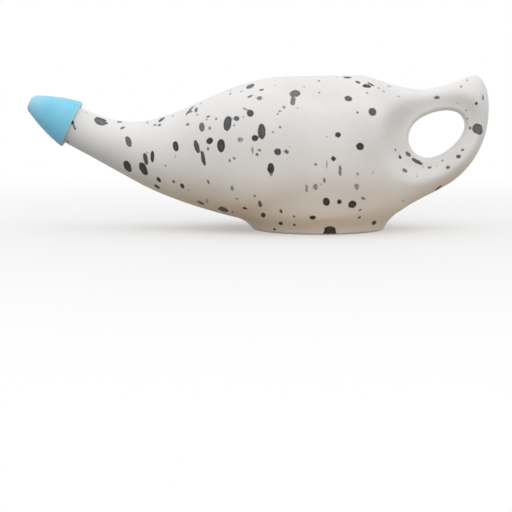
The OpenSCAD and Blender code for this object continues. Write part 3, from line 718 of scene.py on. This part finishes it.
# Satin glaze: off-white with faint clouds, soft-edged dark specks that are darker at their rims,
# tiny flecks, and a bare, rougher ring where the foot is wiped clean.
cream, off_white = (0.80, 0.785, 0.772, 1), (0.86, 0.848, 0.837, 1)
# The specks' ink is painted darker and browner low on the pot and greyer high up: painted shade and
# painted reflection.
low_ink_painted_shade, high_ink_painted_reflection = (0.012, 0.006, 0.002, 1), (0.034, 0.031, 0.033, 1)
brown_ink = (0.024, 0.019, 0.016, 1)
brown_fleck, bare_clay = (0.16, 0.13, 0.11, 1), (0.70, 0.66, 0.60, 1)
glaze, tree, shader, add = new_material("speckled_glaze")
place_node = add("ShaderNodeTexCoord").outputs["Object"]
distance = add("ShaderNodeAttribute", {"attribute_name": "speck"}).outputs["Fac"]
tone_value = add("ShaderNodeAttribute", {"attribute_name": "speck_tone"}).outputs["Fac"]
wobble, streak = noise(add, place_node, 500.0), noise(add, place_node, 1500.0)
cloud, peel = noise(add, place_node, 45.0, 4.0), noise(add, place_node, 220.0)
edge_shift = calc(add, "MULTIPLY", calc(add, "SUBTRACT", wobble, 0.5), 0.7)
depth = calc(add, "ADD", distance, edge_shift)
cover = fade(add, depth, 0.2, -0.3)
inside = fade(add, depth, -0.3, -1.2, 0.0, 0.08)
paler = calc(add, "MULTIPLY", inside, fade(add, streak, 0.3, 0.7), True)
opacity = calc(add, "MULTIPLY", cover, calc(add, "SUBTRACT", tone_value, paler), True)
cells = add("ShaderNodeTexVoronoi", {"feature": "F1"}, Vector=place_node, Scale=150.0)
fleck_size = add("ShaderNodeSeparateColor", Color=cells.outputs["Color"])
fleck_edge = fade(add, fleck_size.outputs[0], 0.82, 1.0, 0.0, 0.1)
fleck = fade(add, calc(add, "SUBTRACT", cells.outputs["Distance"], fleck_edge), 0.01, -0.03, 0.0, 0.45)
white = blend(add, fade(add, cloud, 0.3, 0.7), cream, off_white)
height_node = add("ShaderNodeSeparateXYZ", Vector=place_node).outputs[2]
# Painted shade and reflection: the specks' ink grows greyer with height above the table.
ink_with_painted_reflection = blend(add, fade(add, height_node, 0.012, 0.045), low_ink_painted_shade, high_ink_painted_reflection)
ink_with_painted_reflection = blend(add, fade(add, wobble, 0.35, 0.65), ink_with_painted_reflection, brown_ink)
spotted = blend(add, opacity, white, ink_with_painted_reflection)
flecked = blend(add, fleck, spotted, brown_fleck)
bare = fade(add, height_node, 0.0006, 0.0002)
tree.links.new(blend(add, bare, flecked, bare_clay), shader.inputs["Base Color"])
satin = calc(add, "ADD", fade(add, cloud, 0.3, 0.7, 0.36, 0.44), calc(add, "MULTIPLY", opacity, 0.08))
tree.links.new(calc(add, "ADD", satin, calc(add, "MULTIPLY", bare, 0.35)), shader.inputs["Roughness"])
relief = calc(add, "SUBTRACT", peel, calc(add, "MULTIPLY", opacity, 0.25))
bump = add("ShaderNodeBump", Strength=0.25, Distance=0.00012, Height=relief)
tree.links.new(bump.outputs[0], shader.inputs["Normal"])
shader.inputs["Specular IOR Level"].default_value = 0.32
pot_mesh.materials.append(glaze)
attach(pot, "root")
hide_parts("pot")

# The nose tip: one soft silicone moulding, hollow, pushed over the cone at the spout's end. A
# section with rounded ends is turned about the spout's axis by a node group.
tip_sizes = {"Length": 20.45, "Base Radius": 10.9, "End Radius": 3.5, "Bulge": 0.6,
             "Outlet Radius": 2.0, "Mouth Radius": spout_diameter / 2 + 0.08, "Mouth Depth": 1.75,
             "Cone Taper": taper, "Cone Radius": spout_diameter / 2 - 0.04, "Cone Length": 11.6,
             "Front Rounding": 1.6, "Rim Lean": 0.05, "Rim Shift": 0.25, "Outer Lift": 0.15}
tip_section, tip_turns, tip_rounding, seam_width, weld = 160, 160, 0.3, 0.00001, 0.00002
group = bpy.data.node_groups.new("turned_tip", "GeometryNodeTree")
group.is_modifier = True
group.interface.new_socket("Geometry", in_out="OUTPUT", socket_type="NodeSocketGeometry")
for name in tip_sizes:
    group.interface.new_socket(name, in_out="INPUT", socket_type="NodeSocketFloat")
for name in ("Turn", "Place"):
    group.interface.new_socket(name, in_out="INPUT", socket_type="NodeSocketVector")
group.interface.new_socket("Material", in_out="INPUT", socket_type="NodeSocketMaterial")
given = group.nodes.new("NodeGroupInput").outputs
put = node_maker(group)


def math_of(operation, a, b=0.0, c=0.0):
    return put("ShaderNodeMath", {"operation": operation}, _0=a, _1=b, _2=c).outputs[0]


# A grid whose one way runs round the section and whose other way runs round the spout's axis.
sheet = put("GeometryNodeMeshGrid", Size_X=1.0, Size_Y=1.0, Vertices_X=tip_section + 1,
            Vertices_Y=tip_turns + 1)
grid_place = put("ShaderNodeSeparateXYZ", Vector=put("GeometryNodeInputPosition").outputs[0])
section_turn = math_of("MULTIPLY", grid_place.outputs[0], 2 * pi)
axis_turn = math_of("MULTIPLY", grid_place.outputs[1], 2 * pi)
run = math_of("MULTIPLY_ADD", math_of("COSINE", section_turn), 0.5, 0.5)
along = math_of("MULTIPLY", run, given["Length"])
outer_line = fade(put, run, 0.0, 1.0, given["Base Radius"], given["End Radius"], "LINEAR")
swell = math_of("MULTIPLY", math_of("MULTIPLY", run, 4.0), math_of("SUBTRACT", 1.0, run))
domed = math_of("MULTIPLY_ADD", swell, given["Bulge"], outer_line)
front_start = math_of("SUBTRACT", given["Length"], given["Front Rounding"])
into_front = fade(put, along, front_start, given["Length"], 0.0, 1.0, "LINEAR")
rounded = math_of("SQRT", math_of("SUBTRACT", 1.0, math_of("MULTIPLY", into_front, into_front)))
front_drop = math_of("MULTIPLY", given["Front Rounding"], math_of("SUBTRACT", 1.0, rounded))
outer_wall = math_of("SUBTRACT", domed, math_of("MULTIPLY", front_drop, 0.7))
cone = math_of("SUBTRACT", given["Cone Radius"], math_of("MULTIPLY", along, given["Cone Taper"]))
mouth_edge = math_of("ADD", given["Mouth Depth"], 0.3)
seat = fade(put, along, given["Mouth Depth"], mouth_edge, given["Mouth Radius"], cone)
cone_end = math_of("ADD", given["Cone Length"], 1.6)
channel_start = math_of("ADD", given["Cone Length"], 2.6)
past_cone = math_of("SUBTRACT", seat, 0.9)
narrowed = fade(put, along, given["Cone Length"], cone_end, seat, past_cone, "LINEAR")
inner_wall = fade(put, along, cone_end, channel_start, narrowed, given["Outlet Radius"])
middle = math_of("MULTIPLY", math_of("ADD", outer_wall, inner_wall), 0.5)
half = math_of("MULTIPLY", math_of("SUBTRACT", outer_wall, inner_wall), 0.5)
swing = math_of("SINE", section_turn)
off_seam = math_of("MAXIMUM", math_of("SUBTRACT", math_of("ABSOLUTE", swing), seam_width), 0.0)
full = math_of("POWER", off_seam, tip_rounding)
outward = math_of("MULTIPLY", full, math_of("SIGN", swing))
radius = math_of("MULTIPLY_ADD", outward, half, middle)
lift = math_of("MULTIPLY", given["Outer Lift"], math_of("MULTIPLY_ADD", outward, 0.5, 0.5))
upward = math_of("MULTIPLY_ADD", radius, math_of("COSINE", axis_turn), lift)
to_rim = math_of("POWER", math_of("SUBTRACT", 1.0, run), 2.0)
leaning = math_of("SUBTRACT", math_of("MULTIPLY", upward, given["Rim Lean"]), given["Rim Shift"])
sideways = math_of("MULTIPLY", radius, math_of("SINE", axis_turn))
turned = put("ShaderNodeCombineXYZ", X=upward, Y=sideways,
             Z=math_of("MULTIPLY_ADD", leaning, to_rim, along))
marked = put("GeometryNodeStoreNamedAttribute", {"data_type": "FLOAT"}, Geometry=sheet.outputs[0],
             Name="along", Value=run)
shaped = put("GeometryNodeSetPosition", Geometry=marked.outputs[0], Position=turned.outputs[0])
in_metres = put("GeometryNodeTransform", Geometry=shaped.outputs[0], Scale=(MM, MM, MM),
                Rotation=given["Turn"], Translation=given["Place"])
joined = put("GeometryNodeMergeByDistance", Geometry=in_metres.outputs[0], Distance=weld)
smooth = put("GeometryNodeSetShadeSmooth", Geometry=joined.outputs[0])
real = put("GeometryNodeRealizeInstances", Geometry=smooth.outputs[0])
painted = put("GeometryNodeSetMaterial", Geometry=real.outputs[0], Material=given["Material"])
group.links.new(painted.outputs[0], group.nodes.new("NodeGroupOutput").inputs[0])

# Matte silicone, coloured through, with a faint bloom and a fine moulded grain.
deep_blue, light_blue, thin_and_painted_light_blue = (0.22, 0.66, 0.91, 1), (0.27, 0.7, 0.94, 1), (0.5, 0.78, 0.89, 1)
silicone, tree, shader, add = new_material("blue_silicone")
place_node = add("ShaderNodeTexCoord").outputs["Object"]
bloom, grain = noise(add, place_node, 120.0, 4.0), noise(add, place_node, 2500.0)
blue = blend(add, fade(add, bloom, 0.35, 0.7), deep_blue, light_blue)
# Paler blue at the back rim and towards the front end, where the silicone is thin: partly its thinness,
# partly painted light shining through it.
along_tip = add("ShaderNodeAttribute", {"attribute_name": "along"}).outputs["Fac"]
thin_and_painted_light_share = calc(add, "ADD", fade(add, along_tip, 0.04, 0.01), fade(add, along_tip, 0.55, 1.0), True)
tinted = blend(add, calc(add, "MULTIPLY", thin_and_painted_light_share, 0.6), blue, thin_and_painted_light_blue)
tree.links.new(tinted, shader.inputs["Base Color"])
tree.links.new(fade(add, bloom, 0.3, 0.7, 0.5, 0.6), shader.inputs["Roughness"])
bump = add("ShaderNodeBump", Strength=0.2, Distance=0.00005, Height=grain)
tree.links.new(bump.outputs[0], shader.inputs["Normal"])
shader.inputs["Subsurface Weight"].default_value = 0.3
shader.inputs["Subsurface Radius"].default_value = (0.002, 0.003, 0.004)
shader.inputs["Subsurface Scale"].default_value = 1.0

tip_sheet = bpy.data.meshes.new("tip_sheet")
tip = bpy.data.objects.new("tip_moulded", tip_sheet)
bpy.context.scene.collection.objects.link(tip)
turner = tip.modifiers.new("turner", "NODES")
turner.node_group = group
socket = {item.name: item.identifier for item in group.interface.items_tree if item.in_out == "INPUT"}
for name, value in tip_sizes.items():
    turner[socket[name]] = float(value)
turner[socket["Turn"]] = (0.0, -radians(90 - spout_slope), 0.0)
turner[socket["Place"]] = (-spout_reach * MM, 0.0, spout_rise * MM)
turner[socket["Material"]] = silicone
made = bpy.data.meshes.new_from_object(tip.evaluated_get(bpy.context.evaluated_depsgraph_get()))
tip.modifiers.remove(turner)
tip.data = made
form = bmesh.new()
form.from_mesh(made)
bmesh.ops.recalc_face_normals(form, faces=form.faces)
form.to_mesh(made)
form.free()
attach(tip, "root")
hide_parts("nose_tip")

# A pale table top under plain white surroundings: near the pot it takes its shadow, farther out
# it fades into the background.
paper_white = (0.88, 0.88, 0.88, 1)
warm_bounce, cool_bounce = (0.36, 0.215, 0.04, 1), (0.19, 0.205, 0.215, 1)
floor_mesh = bpy.data.meshes.new("table_top")
side = 3.0
floor_mesh.from_pydata([(-side, -side, 0), (side, -side, 0), (side, side, 0), (-side, side, 0)], [],
                       [(0, 1, 2, 3)])
floor = bpy.data.objects.new("table_top", floor_mesh)
bpy.context.scene.collection.objects.link(floor)
paper, tree, shader, add = new_material("pale_paper")
place_node = add("ShaderNodeTexCoord").outputs["Object"]
reach = add("ShaderNodeVectorMath", {"operation": "LENGTH"}, _0=place_node).outputs["Value"]
shader.inputs["Roughness"].default_value = 0.8
paths = add("ShaderNodeLightPath")
bounce = blend(add, fade(add, reach, 0.05, 0.13), warm_bounce, cool_bounce)
tree.links.new(blend(add, paths.outputs["Is Diffuse Ray"], paper_white, bounce),
               shader.inputs["Base Color"])
seen = calc(add, "ADD", paths.outputs["Is Camera Ray"], paths.outputs["Is Glossy Ray"], True)
seen = calc(add, "ADD", seen, paths.outputs["Is Transmission Ray"], True)
glow = add("ShaderNodeEmission", Color=(1, 1, 1, 1), Strength=1.0)
far_white = calc(add, "MULTIPLY", seen, fade(add, reach, 0.1, 0.4, 0.3, 1.0))
mixed = add("ShaderNodeMixShader", _0=far_white, _1=shader.outputs[0], _2=glow.outputs[0])
tree.links.new(mixed.outputs[0], tree.nodes["Material Output"].inputs["Surface"])
floor_mesh.materials.append(paper)

# White surroundings and two soft lamps, one above and one in front, light the pot evenly.
world = bpy.data.worlds.new("studio")
bpy.context.scene.world = world
world.use_nodes = True
tree = world.node_tree
add = node_maker(tree)
sky = tree.nodes["Background"]
sky.inputs["Color"].default_value, sky.inputs["Strength"].default_value = (1, 1, 1, 1), 0.93
backdrop = add("ShaderNodeBackground", Color=(1, 1, 1, 1), Strength=1.0)
paths = add("ShaderNodeLightPath")
seen = calc(add, "ADD", paths.outputs["Is Camera Ray"], paths.outputs["Is Transmission Ray"], True)
chosen = add("ShaderNodeMixShader", _0=seen, _1=sky.outputs[0], _2=backdrop.outputs[0])
tree.links.new(chosen.outputs[0], tree.nodes["World Output"].inputs["Surface"])


def lamp(name, power, width, place, aim):
    """A square soft lamp at a place in metres, turned to what it lights."""
    data = bpy.data.lights.new(name, "AREA")
    data.shape, data.size, data.energy = "SQUARE", width, power
    made = bpy.data.objects.new(name, data)
    made.location = place
    made.rotation_euler = (Vector(aim) - Vector(place)).to_track_quat("-Z", "Y").to_euler()
    bpy.context.scene.collection.objects.link(made)


pot_middle = (-0.02, 0, 0.035)
lamp("softbox_above", 0.7, 0.7, (-0.1, -0.3, 1.0), pot_middle)
lamp("softbox_front", 2.3, 0.9, (0.15, -1.3, 0.35), pot_middle)

# The camera stands in front of the pot at the height of its rim and looks slightly down.
image_pixels = 512
camera_data = bpy.data.cameras.new("camera")
camera_data.lens = focal_pixels * camera_data.sensor_width / image_pixels
camera = bpy.data.objects.new("camera", camera_data)
camera.location = (camera_x * MM, camera_y * MM, camera_z * MM)
camera.rotation_euler = (radians(90 - camera_pitch), 0, 0)
bpy.context.scene.collection.objects.link(camera)
bpy.context.scene.camera = camera
bpy.context.scene.view_settings.view_transform = "Standard"
